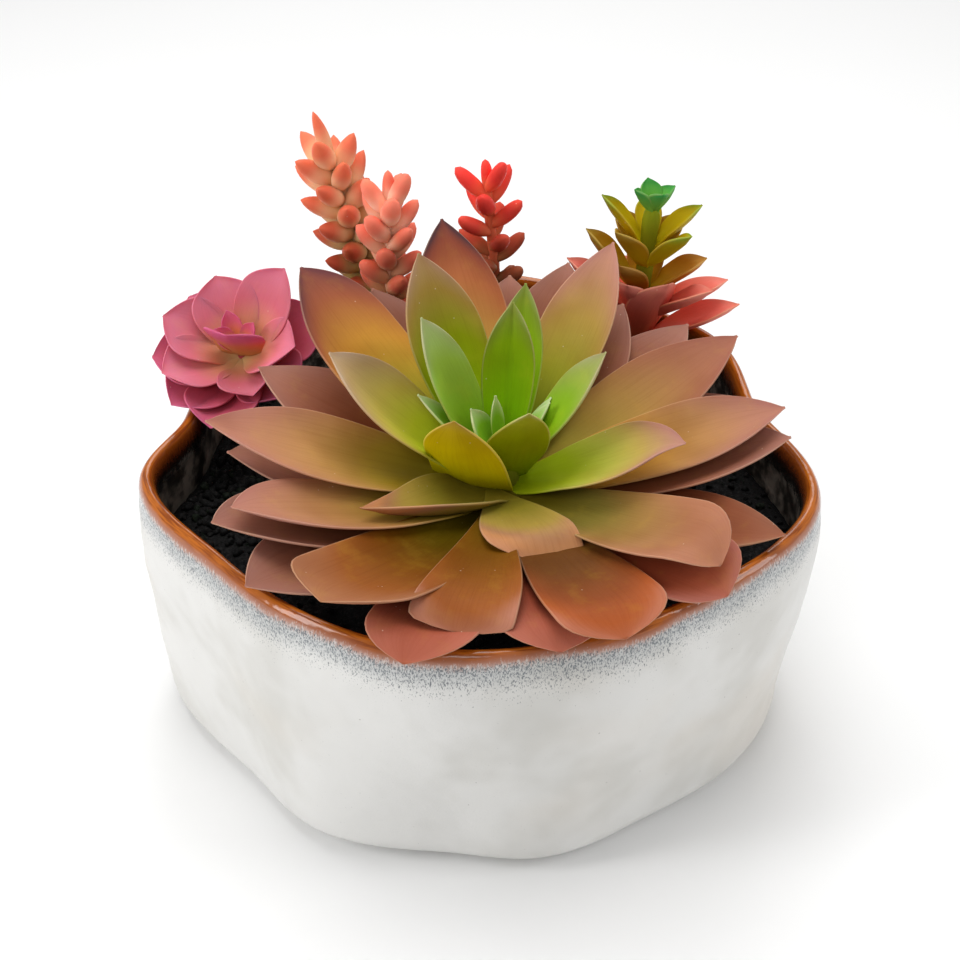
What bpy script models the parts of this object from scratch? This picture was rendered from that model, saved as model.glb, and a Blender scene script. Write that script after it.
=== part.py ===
"""Succulent dish garden: a pinched stoneware bowl planted with six succulents.

Lengths are in millimetres and angles in degrees until a mesh is made in metres.
+Z is up, the foot of the bowl stands on z = 0, and -Y is the front.
Headings turn counter-clockwise from +X, so 270 points to the front.
"""
import math

import bmesh
import bpy
from mathutils import Matrix, Vector

MM = 0.001
GAP = 0.3

# Bowl: outline of the lip and of the foot's round edge as (heading, radius)
LIP_PLAN = ((-168, 104.5), (-140, 98.5), (-97, 106.5), (-50, 102), (-20, 106), (14, 93),
            (40, 105), (62, 103), (90, 106.5), (118, 103), (146, 104), (172, 95))
FOOT_PLAN = ((-176, 101), (-141, 90.5), (-118, 95.5), (-97, 92.5), (-80, 96.5), (-58, 92.5),
             (-34, 95.5), (-8, 97.5), (30, 92), (64, 97), (100, 93), (140, 97), (166, 94))
LIP_RISE = ((-165, 0.5), (-120, -0.5), (-60, 0), (-20, 1), (15, -2.5), (50, 0),
            (92, 3.5), (130, 1), (170, -0.5))
BOWL_HEIGHT = 92
FOOT_RADIUS = 78
EDGE_HEIGHT = 10
LIP_STRAIGHT = 6
BELLY = 2.5
FLOOR_THICKNESS = 8
WALL = 5.5
MEAN_RADIUS = 100
BOWL_SIDES = 48
# Thumb dents in the wall as (heading, height, depth, half width), positive is inward
DENTS = ((-150, 45, 2.2, 17), (-128, 22, -1.3, 16), (-112, 60, 1.6, 15), (-88, 28, 1.8, 15),
         (-70, 62, -1.2, 15), (-52, 34, 2.2, 17), (-30, 60, 1.4, 15), (-8, 30, 1.6, 17),
         (25, 55, 1.6, 18), (58, 34, -1.2, 17), (90, 52, 1.8, 18), (125, 32, 1.6, 18),
         (158, 58, 1.6, 16), (178, 26, -1.2, 15))

# Bowl profile: rounded foot edge as (part of the way out, height), levels and round lip
FOOT_CORNER = ((0, 0), (0.45, 1), (0.8, 3.5), (0.96, 7))
OUTER_LEVELS = (14, 28, 42, 56, 70, 86)
LIP_ROUND = ((0.6, 90), (2.7, 92), (4.9, 90))
INNER_LEVELS = (86, 68, 44, 20)
INNER_FOOT = 20
FLOOR_ROUND = 8

# Soil: height at the wall, crown at the middle, lumps, and the rings of its top
SOIL_EDGE = 68
SOIL_CROWN = 5
SOIL_LUMP = 0.9
SOIL_LUMPS_AROUND = 3
SOIL_RINGS = (0.75, 0.4)

# Stems: sides, depth and top from each plant's own origin, and room in the soil's holes
STEM_SIDES = 8
STEM_TAPER = 6
ROSETTE_DEPTH = 44
ROSETTE_STEM_TOP = 17
PINK_DEPTH = 58
PINK_STEM_TOP = 4
SMALL_DEPTH = 26
UPRIGHT = (0, 0)
HOLE_GAP = 0.35
HOLE_TOP = 40

# Blades: where along the length the cross-sections lie, from a little out of the stem
PLAIN_STATIONS = (0.05, 0.3, 0.58, 0.82, 1)
BLUNT_STATIONS = (0.05, 0.35, 0.66, 0.85, 0.94, 1)
SMALL_STATIONS = (0.05, 0.4, 0.74, 1)
# A blade's usual root width and widest place, how round its shoulders and its point are,
# its thickness at the root and its rim, where it may droop, and where its cup is full
ROOT_WIDTH = 0.36
WIDEST = 0.62
SHOULDER = 1.4
POINT = 2.1
THICKNESS = 2.6
EDGE_THICKNESS = 0.8
TIP_WIDTH = 1.2
DROOP_START = 0.84
CUP_FULL = 0.4
SKEW_FULL = 0.3
SPINE_STEPS = 50
# How much higher each next blade of a ring grows on its stem
SPIRAL_STEP = 0.17
# Blades whose broad end turns down, as the ones that lie over the lip do: rolled under,
# flat toward the front, a wedge from a narrow root, and a wedge that folds sooner
BLUNT = dict(droop=60, widest=0.78, point=3.2, stations=BLUNT_STATIONS)
FRONT = dict(droop=45, widest=0.82, point=3.5, cup=0.1, stations=BLUNT_STATIONS)
WEDGE = dict(FRONT, widest=0.86, root=0.18, shoulder=1.8)
HOOD = dict(WEDGE, droop=55, fold=0.78, fold_end=0.92, widest=0.9, root=0.12, point=4, bend=0)

# Large rosette: its crown, its lean to +X and +Y, and its rings of blades.
# A ring gives its step along the stem and one blade's measures.
# A blade in it gives its heading, then changes to its rise and length.
ROSETTE_CROWN = (6, -23, 89)
ROSETTE_LEAN = (2, -11)
ROSETTE_STEM_RADIUS = 5.5
ROSETTE_RINGS = (
    (dict(step=-4, rise=6, length=87, width=27, bend=16, cup=0.28),
     ((19, -1, -4), (46, -2, 1), (60, 1, -6), (88, 0, -3), (122, 4, -5), (184, 0, -4),
      (227, -2, 5, dict(width=34, point=3, sweep=-12)),
      (279, 10, -1, dict(FRONT, bend=5, width=32, sweep=2)),
      (317, 8, 0, dict(FRONT, bend=5, width=30)), (336, 1, 3, dict(step=-6)))),
    (dict(step=-2, rise=9, length=88, width=28, bend=18, cup=0.28),
     ((31, 0, 1), (75, -1, -1), (104, 9, 4), (154, -8, -3),
      (219, -3, 3, dict(sweep=-20, width=31, point=3.2)),
      (260, 3, 4, dict(FRONT, bend=8, width=30, sweep=-11)),
      (291, 8, 2, dict(WEDGE, bend=5, width=31, sweep=1)), (358, 0, 0))),
    (dict(step=0, rise=12, length=88, width=28, bend=20, cup=0.3),
     ((3, -1, 0), (65, 2, 2, dict(width=22)), (145, 1, 4, dict(sweep=-11, width=30, point=3)),
      (187, -1, 4), (217, -4, 0, dict(sweep=-14, width=27, point=3, twist=8)),
      (246, -4, 4, dict(sweep=-14, width=34, widest=0.84, point=3.2, cup=0.26)),
      (266, 6, -7, dict(WEDGE, bend=0, sweep=-7, skew=0.07, shoulder=2.4, widest=0.93,
                        point=5)),
      (318, -1, -4, BLUNT))),
    (dict(step=2, rise=24, length=64, width=24, bend=30, cup=0.32),
     ((347, -7, -3, dict(droop=40)), (82, 4, -3, dict(width=15)), (121, 6, 9), (168, -2, 2),
      (240, -17, -15, dict(width=23, bend=26, sweep=-20, twist=10, cup=0.5, root=0.75,
                           widest=0.46, point=1.5)),
      (291, -4, -18, dict(HOOD, width=26, aside=-4.5, sweep=-0.5, skew=0.4)))),
    (dict(step=4, rise=48, length=54, width=15, bend=20, cup=0.35),
     ((86, 0, -1), (147, 0, 2, dict(width=17)), (10, 0, 0),
      (252, 2, -10, dict(step=-3, width=25, bend=36, aside=-7, sweep=-3, cup=0.1, root=0.92,
                         widest=0.48, point=2.5)),
      (277, 12, -16, dict(step=4.3, width=18, bend=22, aside=2, sweep=3, cup=0.1, root=0.6,
                          widest=0.5, point=2.6)))),
    (dict(step=8, rise=64, length=26, width=7, bend=10, cup=0.35),
     ((112, 4, -2, dict(width=4)), (156, -8, -4, dict(width=9)), (170, -26, 9),
      (20, -12, 0, dict(width=5)), (32, -18, 0, dict(width=4)))),
)

# Pink rosette at the left: crown, lean and rings, given like the large rosette's
PINK_CROWN = (-76, 36, 99)
PINK_LEAN = (-8, -32)
PINK_STEM_RADIUS = 3.5
PINK_RINGS = (
    (dict(step=-2, rise=8, length=30, width=24, bend=14, cup=0.35, thick=1.8, point=2.6),
     ((18, 0, 0), (86, 4, -2), (128, 0, 0), (182, 4, 0), (222, 2, 0), (255, 2, 2),
      (312, 0, -4))),
    (dict(step=1, rise=22, length=29, width=21, bend=16, cup=0.4, thick=1.8, point=2.6),
     ((48, 8, 4), (106, 4, -1), (158, 0, 0), (204, -6, -1), (286, -6, -5, dict(width=19)),
      (340, 4, -3))),
    (dict(step=4, rise=50, length=15, width=6, bend=10, cup=0.35, thick=1.6, point=2.6),
     ((105, -5, 0), (255, 22, 2, dict(width=20, root=0.6, cup=0.3)), (40, -5, -3),
      (150, -5, -3))),
)

# Stacked-leaf plant at the right back: its foot, lean and tiers from low to high
STACK_FOOT = (51.5, 68, 70)
STACK_LEAN = (4, 0)
STACK_HEIGHT = 71
STACK_STEM_RADIUS = 2.8
STACK_TIERS = (
    (dict(step=19, rise=12, length=32, width=13, bend=16, cup=0.5, thick=3),
     ((2, 4, 5), (70, 4, -9), (135, 4, -4), (182, 14, 0),
      (298, 46, -1, dict(width=17, root=0.6, bend=8)))),
    (dict(step=27, rise=24, length=30, width=12.5, bend=14, cup=0.5, thick=3),
     ((12, -7, 3), (110, 0, -4), (170, 4, 2), (240, 22, -8), (332, 4, 0))),
    (dict(step=36, rise=34, length=27, width=12, bend=12, cup=0.5, thick=3),
     ((6, -6, -2), (84, 0, -6), (174, 6, 3), (228, 6, -6))),
    (dict(step=46, rise=42, length=24, width=11, bend=8, cup=0.55, thick=2.8),
     ((40, 0, -2), (135, 0, -2), (222, 0, 0), (318, 0, 0))),
    (dict(step=53, rise=38, length=22, width=8.5, bend=14, cup=0.6, thick=2.6),
     ((14, -4, 1), (92, 0, -3), (172, 0, 2))),
    (dict(step=65.5, rise=48, length=12, width=7, bend=10, cup=0.6, thick=2),
     ((20, 0, 0), (107, 2, 0), (203, -2, 0), (288, 1, 0))),
)

# Bean-leaved sprigs: where a stem leaves the soil, its lean and height, where its beans
# begin, how many there are, a bean's length, radius and climb, and the top bean's length
SPRIGS = (
    dict(name="tall_coral_sprig", foot=(-26.5, 77, 70), lean=(-16.5, 0), height=101,
         start=26, count=37, length=17, radius=3.6, climb=28, peak=20),
    dict(name="short_coral_sprig", foot=(-29, 50, 71), lean=(0, 0), height=88,
         start=28, count=27, length=15, radius=3, climb=36, peak=13),
    dict(name="red_sprig", foot=(8.5, 76, 70), lean=(-5, 0), height=81.5,
         start=24, count=19, length=15, radius=2.8, climb=28, peak=11),
)
SPRIG_STEM_RADIUS = 1.7
# A bean's turn from the last one, how much steeper the top ones climb, how much shorter
# the lowest ones are, and its rings as (part of its length, part of its radius)
BEAN_TURN = 137.5
BEAN_STEEPER = 22
BEAN_SHORTER = 0.25
BEAN_SIDES = 6
BEAN_RINGS = ((0.4, 0.95), (0.78, 0.85))
# The last bean stands up at the top of its stem, thinner than the rest
TIP_CLIMB = 86
TIP_THINNER = 0.7

SMOOTH_ANGLE = 35


def smooth_between(plan, heading):
    """Value at a heading on a smooth closed curve through (heading, value) points."""
    count = len(plan)
    turn = 360
    for index in range(count):
        start, value = plan[index]
        end, next_value = plan[(index + 1) % count]
        span = (end - start) % turn
        offset = (heading - start) % turn
        if offset < span:
            before, before_value = plan[index - 1]
            after, after_value = plan[(index + 2) % count]
            slope = (next_value - before_value) / ((end - before) % turn)
            next_slope = (after_value - value) / ((after - start) % turn)
            t = offset / span
            return (value * (2 * t**3 - 3 * t**2 + 1) + next_value * (3 * t**2 - 2 * t**3)
                    + slope * span * (t**3 - 2 * t**2 + t) + next_slope * span * (t**3 - t**2))
    return plan[0][1]


def turned(radius, heading, height):
    """Point at a radius, heading and height about the bowl's middle."""
    angle = math.radians(heading)
    return Vector((radius * math.cos(angle), radius * math.sin(angle), height))


def ease(value):
    """Smooth step from 0 to 1."""
    value = min(max(value, 0), 1)
    return value * value * (3 - 2 * value)


def dent_depth(heading, height):
    """How far the thumb dents push the wall in at one place."""
    depth = 0
    for place, level, deep, half in DENTS:
        around = math.radians((heading - place + 180) % 360 - 180) * MEAN_RADIUS
        depth += deep * math.exp(-(around**2 + (height - level)**2) / (2 * half**2))
    return depth


def wall_radius(heading, height):
    """Outer radius of the bowl's wall between its foot's edge and its lip."""
    foot = smooth_between(FOOT_PLAN, heading)
    lip = smooth_between(LIP_PLAN, heading)
    part = ease((height - EDGE_HEIGHT) / (BOWL_HEIGHT - EDGE_HEIGHT - LIP_STRAIGHT))
    belly = BELLY * math.sin(math.pi * min(height / BOWL_HEIGHT, 1))
    return foot + (lip - foot) * part + belly - dent_depth(heading, height)


def inner_radius(heading, height):
    """Inner radius of the bowl's wall, which the soil fills."""
    return wall_radius(heading, height) - WALL


def ring_solid(name, rings, bottom_rises, top_rises):
    """Closed solid from rings of points that share a count, with a middle point at each end.

    Its triangles slant alike on two walls that face each other, so their gap stays even.
    """
    mesh = bmesh.new()
    loops = [[mesh.verts.new(point * MM) for point in ring] for ring in rings]
    for low, high in zip(loops, loops[1:]):
        rising = high[0].co.z > low[0].co.z
        for index in range(len(low)):
            after = (index + 1) % len(low)
            corners = (low[index], low[after], high[after], high[index])
            cut = 2 if rising else 3
            mesh.faces.new((corners[cut - 2], corners[cut - 1], corners[cut]))
            mesh.faces.new((corners[cut - 2], corners[cut], corners[(cut + 1) % 4]))
    for loop, rises, flip in ((loops[0], bottom_rises, True), (loops[-1], top_rises, False)):
        middle = sum((vert.co for vert in loop), Vector()) / len(loop)
        middle.z += rises * MM
        hub = mesh.verts.new(middle)
        for index in range(len(loop)):
            pair = (loop[index], loop[(index + 1) % len(loop)])
            mesh.faces.new((hub, *(reversed(pair) if flip else pair)))
    return mesh_object(name, mesh)


def mesh_object(name, mesh):
    """Object in the scene made from a bmesh."""
    bmesh.ops.recalc_face_normals(mesh, faces=mesh.faces)
    data = bpy.data.meshes.new(name)
    mesh.to_mesh(data)
    mesh.free()
    made = bpy.data.objects.new(name, data)
    bpy.context.scene.collection.objects.link(made)
    return made


def headings():
    """Headings of the bowl's sides."""
    return [360 * index / BOWL_SIDES for index in range(BOWL_SIDES)]


def lip_rise(heading, part):
    """How far the wavy lip lifts a point, full at the lip and none at half height."""
    return smooth_between(LIP_RISE, heading) * ease(2 * part - 1)


def inner_ring(height, inset):
    """Ring of points set in from the bowl's inner wall."""
    return [turned(inner_radius(h, height) - inset, h,
                   height + lip_rise(h, height / BOWL_HEIGHT)) for h in headings()]


def floor_ring(inset):
    """Ring of points on the bowl's floor, in from the foot of the inner wall."""
    return [turned(inner_radius(h, INNER_FOOT) - FLOOR_ROUND - inset, h, FLOOR_THICKNESS + inset)
            for h in headings()]


def bowl():
    """Bowl: flat foot, rounded edge, pinched wall, round lip and a plain inside."""
    rings = []
    for part, height in FOOT_CORNER:
        rings.append([turned(FOOT_RADIUS + (wall_radius(h, EDGE_HEIGHT) - FOOT_RADIUS) * part,
                             h, height) for h in headings()])
    for height in OUTER_LEVELS:
        rings.append([turned(wall_radius(h, height), h,
                             height + lip_rise(h, height / BOWL_HEIGHT)) for h in headings()])
    for inset, height in LIP_ROUND:
        rings.append([turned(wall_radius(h, OUTER_LEVELS[-1]) - inset, h,
                             height + lip_rise(h, 1)) for h in headings()])
    for height in INNER_LEVELS:
        rings.append(inner_ring(height, 0))
    rings.append(floor_ring(0))
    return ring_solid("bowl", rings, 0, 0)


def soil_height(heading, part):
    """Height of the soil, crowned at the middle and a little lumpy."""
    lumps = (SOIL_LUMP * math.sin(SOIL_LUMPS_AROUND * math.radians(heading) + 1)
             * math.sin(math.pi * part))
    return SOIL_EDGE + SOIL_CROWN * (1 - part**2) + lumps


def soil_body():
    """Soil that fills the bowl to a little below its lip, with a hole for each stem."""
    rings = [floor_ring(GAP)]
    for height in reversed(INNER_LEVELS):
        if height <= SOIL_EDGE:
            rings.append(inner_ring(height, GAP))
    edge = rings[-1]
    for part in SOIL_RINGS:
        rings.append([Vector((point.x * part, point.y * part, soil_height(h, part)))
                      for point, h in zip(edge, headings())])
    soil = ring_solid("soil", rings, 0, 1)
    for foot, lean, radius, depth in stem_places():
        hole = tube("hole", [Vector((0, 0, -depth - GAP)), Vector((0, 0, HOLE_TOP))],
                    (radius + HOLE_GAP, radius + HOLE_GAP), STEM_SIDES)
        stand(hole, foot, lean)
        cut_hole(soil, hole)
    return soil


def stem_places():
    """Where each stem stands: its plant's foot, lean, radius and depth below the foot."""
    places = [(ROSETTE_CROWN, ROSETTE_LEAN, ROSETTE_STEM_RADIUS, ROSETTE_DEPTH),
              (PINK_CROWN, UPRIGHT, PINK_STEM_RADIUS, PINK_DEPTH),
              (STACK_FOOT, STACK_LEAN, STACK_STEM_RADIUS, SMALL_DEPTH)]
    for sprig in SPRIGS:
        places.append((sprig["foot"], sprig["lean"], SPRIG_STEM_RADIUS, SMALL_DEPTH))
    return places


def cut_hole(body, hole):
    """Cut a hole with a Boolean, applied, and remove the cutter."""
    bpy.context.view_layer.update()
    cut = body.modifiers.new("cut", "BOOLEAN")
    cut.operation = "DIFFERENCE"
    cut.object = hole
    depsgraph = bpy.context.evaluated_depsgraph_get()
    left = bpy.data.meshes.new_from_object(body.evaluated_get(depsgraph))
    body.modifiers.clear()
    body.data = left
    bpy.data.objects.remove(hole, do_unlink=True)


def tube(name, path, radii, sides):
    """Closed tube along a path, rounded off by its own radii."""
    rings = []
    for index, point in enumerate(path):
        before = path[max(index - 1, 0)]
        after = path[min(index + 1, len(path) - 1)]
        along = (after - before).normalized()
        turn = Vector((0, 0, 1)).rotation_difference(along)
        rings.append([point + turn @ turned(radii[index], 360 * side / sides, 0)
                      for side in range(sides)])
    return ring_solid(name, rings, 0, 0)


def blade_rise(blade, t):
    """Climb of a blade's middle line, which bends along it and may droop near its tip."""
    fold = blade.get("fold", DROOP_START)
    droop = blade.get("droop", 0) * ease((t - fold) / (blade.get("fold_end", 1) - fold))
    return math.radians(blade["rise"] + blade["bend"] * t - droop)


def spine_point(blade, t):
    """Point on a blade's middle line, stepped along its climb, with a sweep to one side.

    A blade may also grow a little aside of the stem's middle.
    """
    step = t / SPINE_STEPS
    reach = height = 0
    for index in range(SPINE_STEPS):
        climb = blade_rise(blade, (index + 0.5) * step)
        reach += math.cos(climb) * step * blade["length"]
        height += math.sin(climb) * step * blade["length"]
    return Vector((reach, blade.get("aside", 0) + blade.get("sweep", 0) * t * t, height))


def blade_width(blade, t):
    """Half width of a blade: a narrow root, widest past the middle, and a pointed tip."""
    root = blade.get("root", ROOT_WIDTH)
    widest = blade.get("widest", WIDEST)
    shoulder = blade.get("shoulder", SHOULDER)
    if t < widest:
        part = root + (1 - root) * math.sin(math.pi / 2 * t / widest) ** shoulder
    else:
        part = 1 - ((t - widest) / (1 - widest)) ** blade.get("point", POINT)
    return max(blade["width"] / 2 * part, TIP_WIDTH / 2)


def blade_section(blade, t):
    """Top and bottom points across a blade: left edge, middle and right edge.

    A skewed blade runs further out along its right edge than along its left edge.
    """
    half = blade_width(blade, t)
    thick = blade.get("thick", THICKNESS) * (1 - t / 2) * min(1, half / 4)
    thickness = (EDGE_THICKNESS, max(thick, EDGE_THICKNESS), EDGE_THICKNESS)
    cup = blade["cup"] * ease(t / CUP_FULL)
    skew = blade.get("skew", 0) * half / blade["length"] * ease(t / SKEW_FULL)
    side = Vector((0, 1, 0))
    top = []
    bottom = []
    for place, thick in zip((-1, 0, 1), thickness):
        along = t + skew * place
        rise = blade_rise(blade, along)
        roll = math.radians(blade.get("twist", 0) * along)
        up = Vector((-math.sin(rise), 0, math.cos(rise)))
        across = side * math.cos(roll) + up * math.sin(roll)
        normal = up * math.cos(roll) - side * math.sin(roll)
        point = spine_point(blade, along) + across * (half * place)
        point += normal * (cup * half * place**2)
        top.append(point + normal * (thick / 2))
        bottom.append(point - normal * (thick / 2))
    return top, bottom


def blade_object(blade, heading, tilt):
    """One closed blade, its triangles alike on both faces, set at a heading on the stem."""
    mesh = bmesh.new()
    lift = Matrix.Translation((0, 0, blade["step"] * MM))
    place = tilt @ lift @ Matrix.Rotation(math.radians(heading), 4, "Z")
    sections = []
    for t in blade["stations"]:
        sections.append([[mesh.verts.new(place @ (point * MM)) for point in face]
                         for face in blade_section(blade, t)])
    for (top, bottom), (next_top, next_bottom) in zip(sections, sections[1:]):
        for left in (0, 1):
            right = left + 1
            for low, high in ((top, next_top), (bottom, next_bottom)):
                mesh.faces.new((low[left], low[right], high[right]))
                mesh.faces.new((low[left], high[right], high[left]))
        for edge in (0, 2):
            mesh.faces.new((top[edge], next_top[edge], next_bottom[edge], bottom[edge]))
    for top, bottom in (sections[0], sections[-1]):
        for left in (0, 1):
            mesh.faces.new((top[left], top[left + 1], bottom[left + 1], bottom[left]))
    return mesh_object("blade", mesh)


def keep_largest_body(made):
    """Drop loose scraps and the walls of sealed hollows that a union leaves."""
    mesh = bmesh.new()
    mesh.from_mesh(made.data)
    waiting = set(mesh.verts)
    bodies = []
    while waiting:
        body = {waiting.pop()}
        front = list(body)
        while front:
            vert = front.pop()
            for edge in vert.link_edges:
                other = edge.other_vert(vert)
                if other not in body:
                    body.add(other)
                    front.append(other)
        waiting -= body
        bodies.append(body)
    bodies.sort(key=len)
    for body in bodies[:-1]:
        bmesh.ops.delete(mesh, geom=list(body), context="VERTS")
    mesh.to_mesh(made.data)
    mesh.free()


def fuse(name, base, parts):
    """Fuse parts to a base by one Boolean union on a collection, applied."""
    group = bpy.data.collections.new(name + "_parts")
    bpy.context.scene.collection.children.link(group)
    for part in parts:
        bpy.context.scene.collection.objects.unlink(part)
        group.objects.link(part)
    union = base.modifiers.new("union", "BOOLEAN")
    union.operation = "UNION"
    union.operand_type = "COLLECTION"
    union.collection = group
    depsgraph = bpy.context.evaluated_depsgraph_get()
    fused = bpy.data.meshes.new_from_object(base.evaluated_get(depsgraph))
    base.modifiers.clear()
    base.data = fused
    base.name = name
    for part in list(group.objects):
        bpy.data.objects.remove(part, do_unlink=True)
    bpy.data.collections.remove(group)
    keep_largest_body(base)
    return base


def lean_turn(lean):
    """Turn that tips an upright axis toward +X and +Y by two angles."""
    axis = Vector((math.sin(math.radians(lean[0])), math.sin(math.radians(lean[1])), 1))
    return Vector((0, 0, 1)).rotation_difference(axis)


def stand(made, foot, lean):
    """Place a plant at its foot with its own axis leaning."""
    made.rotation_mode = "QUATERNION"
    made.rotation_quaternion = lean_turn(lean)
    made.location = Vector(foot) * MM


def ring_blades(rings, stations, tilt=Matrix()):
    """Every blade of a plant's rings, each with its own changes to its ring's measures."""
    blades = []
    for ring, leaves in rings:
        for index, (heading, rise, length, *own) in enumerate(leaves):
            blade = {"stations": stations, **ring, **(own[0] if own else {})}
            blade["step"] += SPIRAL_STEP * index
            blade["rise"] += rise
            blade["length"] += length
            blades.append(blade_object(blade, heading, tilt))
    return blades


def straight_stem(low, high, radius):
    """Stem from below the soil to its top, where it narrows."""
    path = [Vector((0, 0, height)) for height in (low, high - STEM_TAPER, high)]
    return tube("stem", path, (radius, radius, radius / 2), STEM_SIDES)


def large_rosette():
    """Large rosette: six rings of blades fused to one leaning stem."""
    stem = straight_stem(-ROSETTE_DEPTH, ROSETTE_STEM_TOP, ROSETTE_STEM_RADIUS)
    made = fuse("large_rosette", stem, ring_blades(ROSETTE_RINGS, PLAIN_STATIONS))
    stand(made, ROSETTE_CROWN, ROSETTE_LEAN)
    return made


def pink_rosette():
    """Pink rosette: three rings of broad blades, tipped forward on an upright stem."""
    stem = straight_stem(-PINK_DEPTH, PINK_STEM_TOP, PINK_STEM_RADIUS)
    tilt = lean_turn(PINK_LEAN).to_matrix().to_4x4()
    made = fuse("pink_rosette", stem, ring_blades(PINK_RINGS, SMALL_STATIONS, tilt))
    stand(made, PINK_CROWN, UPRIGHT)
    return made


def stacked_plant():
    """Stacked-leaf plant: tiers of boat-shaped pointed blades up one stem."""
    stem = straight_stem(-SMALL_DEPTH, STACK_HEIGHT, STACK_STEM_RADIUS)
    made = fuse("stacked_leaf_plant", stem, ring_blades(STACK_TIERS, SMALL_STATIONS))
    stand(made, STACK_FOOT, STACK_LEAN)
    return made


def bean(root, heading, rise, length, radius):
    """One closed bean-shaped leaf that grows from a root point."""
    along = (Matrix.Rotation(math.radians(heading), 3, "Z")
             @ Matrix.Rotation(-math.radians(rise), 3, "Y"))
    mesh = bmesh.new()
    rings = []
    for part, swell in BEAN_RINGS:
        ring = []
        for side in range(BEAN_SIDES):
            angle = 2 * math.pi * side / BEAN_SIDES
            offset = Vector((length * part, radius * swell * math.cos(angle),
                             radius * swell * math.sin(angle)))
            ring.append(mesh.verts.new((root + along @ offset) * MM))
        rings.append(ring)
    low = mesh.verts.new(root * MM)
    tip = mesh.verts.new((root + along @ Vector((length, 0, 0))) * MM)
    for side in range(BEAN_SIDES):
        after = (side + 1) % BEAN_SIDES
        mesh.faces.new((low, rings[0][after], rings[0][side]))
        mesh.faces.new((rings[0][side], rings[0][after], rings[1][after], rings[1][side]))
        mesh.faces.new((rings[1][side], rings[1][after], tip))
    return mesh_object("bean", mesh)


def sprig_plant(sprig):
    """Sprig of beans that wind up a stem, steeper toward its top."""
    top = sprig["height"] - sprig["peak"]
    stem = straight_stem(-SMALL_DEPTH, top + STEM_TAPER, SPRIG_STEM_RADIUS)
    beans = []
    for index in range(sprig["count"]):
        part = index / (sprig["count"] - 1)
        root = Vector((0, 0, sprig["start"] + (top - sprig["start"]) * part))
        beans.append(bean(root, BEAN_TURN * index, sprig["climb"] + BEAN_STEEPER * part**3,
                          sprig["length"] * (1 - BEAN_SHORTER * (1 - part)**2),
                          sprig["radius"]))
    beans.append(bean(Vector((0, 0, top)), 0, TIP_CLIMB, sprig["peak"],
                      sprig["radius"] * TIP_THINNER))
    made = fuse(sprig["name"], stem, beans)
    stand(made, sprig["foot"], sprig["lean"])
    return made


def paint(made, color, roughness):
    """Shade an object smooth and give it its own material."""
    made.data.shade_smooth()
    made.data.set_sharp_from_angle(angle=math.radians(SMOOTH_ANGLE))
    material = bpy.data.materials.new(made.name)
    material.use_nodes = True
    shader = material.node_tree.nodes["Principled BSDF"]
    shader.inputs["Base Color"].default_value = (*color, 1)
    shader.inputs["Roughness"].default_value = roughness
    shader.inputs["Metallic"].default_value = 0
    made.data.materials.clear()
    made.data.materials.append(material)


def clear_scene():
    """Remove every object of the scene."""
    for old in list(bpy.data.objects):
        bpy.data.objects.remove(old, do_unlink=True)


def main():
    clear_scene()
    paint(bowl(), (0.75, 0.74, 0.71), 0.35)
    paint(soil_body(), (0.01, 0.012, 0.01), 0.95)
    paint(large_rosette(), (0.45, 0.22, 0.12), 0.55)
    paint(pink_rosette(), (0.6, 0.12, 0.2), 0.5)
    paint(stacked_plant(), (0.4, 0.15, 0.05), 0.5)
    colors = ((0.75, 0.25, 0.15), (0.8, 0.2, 0.15), (0.6, 0.06, 0.04))
    for sprig, color in zip(SPRIGS, colors):
        paint(sprig_plant(sprig), color, 0.5)


main()
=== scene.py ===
"""Looks of the succulent dish garden: glazed bowl, soil, finer leaves, floor, light, camera.

Lengths are in millimetres and angles in degrees until a mesh is made in metres.
Each finer piece repeats the measures of the solid that it stands for, so it keeps its form.
A colour is given as a hex code for a screen.
"""

import math
import random

import bpy
import numpy as np
from mathutils import Matrix, Vector, noise


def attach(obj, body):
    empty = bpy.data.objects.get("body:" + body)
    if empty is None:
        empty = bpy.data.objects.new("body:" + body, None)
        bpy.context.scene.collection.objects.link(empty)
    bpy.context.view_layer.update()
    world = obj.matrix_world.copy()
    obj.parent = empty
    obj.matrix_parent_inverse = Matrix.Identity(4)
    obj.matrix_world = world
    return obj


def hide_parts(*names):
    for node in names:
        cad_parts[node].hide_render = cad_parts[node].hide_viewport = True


MM = 0.001

# Bowl: outline of the lip and of the foot's round edge as (heading, radius)
LIP_PLAN = ((-168, 104.5), (-140, 98.5), (-97, 106.5), (-50, 102), (-20, 106), (14, 93),
            (40, 105), (62, 103), (90, 106.5), (118, 103), (146, 104), (172, 95))
FOOT_PLAN = ((-176, 101), (-141, 90.5), (-118, 95.5), (-97, 92.5), (-80, 96.5), (-58, 92.5),
             (-34, 95.5), (-8, 97.5), (30, 92), (64, 97), (100, 93), (140, 97), (166, 94))
LIP_RISE = ((-165, 0.5), (-120, -0.5), (-60, 0), (-20, 1), (15, -2.5), (50, 0),
            (92, 3.5), (130, 1), (170, -0.5))
BOWL_HEIGHT = 92
FOOT_RADIUS = 78
EDGE_HEIGHT = 10
LIP_STRAIGHT = 6
BELLY = 2.5
FLOOR_THICKNESS = 8
WALL = 5.5
MEAN_RADIUS = 100
DENTS = ((-150, 45, 2.2, 17), (-128, 22, -1.3, 16), (-112, 60, 1.6, 15), (-88, 28, 1.8, 15),
         (-70, 62, -1.2, 15), (-52, 34, 2.2, 17), (-30, 60, 1.4, 15), (-8, 30, 1.6, 17),
         (25, 55, 1.6, 18), (58, 34, -1.2, 17), (90, 52, 1.8, 18), (125, 32, 1.6, 18),
         (158, 58, 1.6, 16), (178, 26, -1.2, 15))
LIP_FOOT = 86
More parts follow.
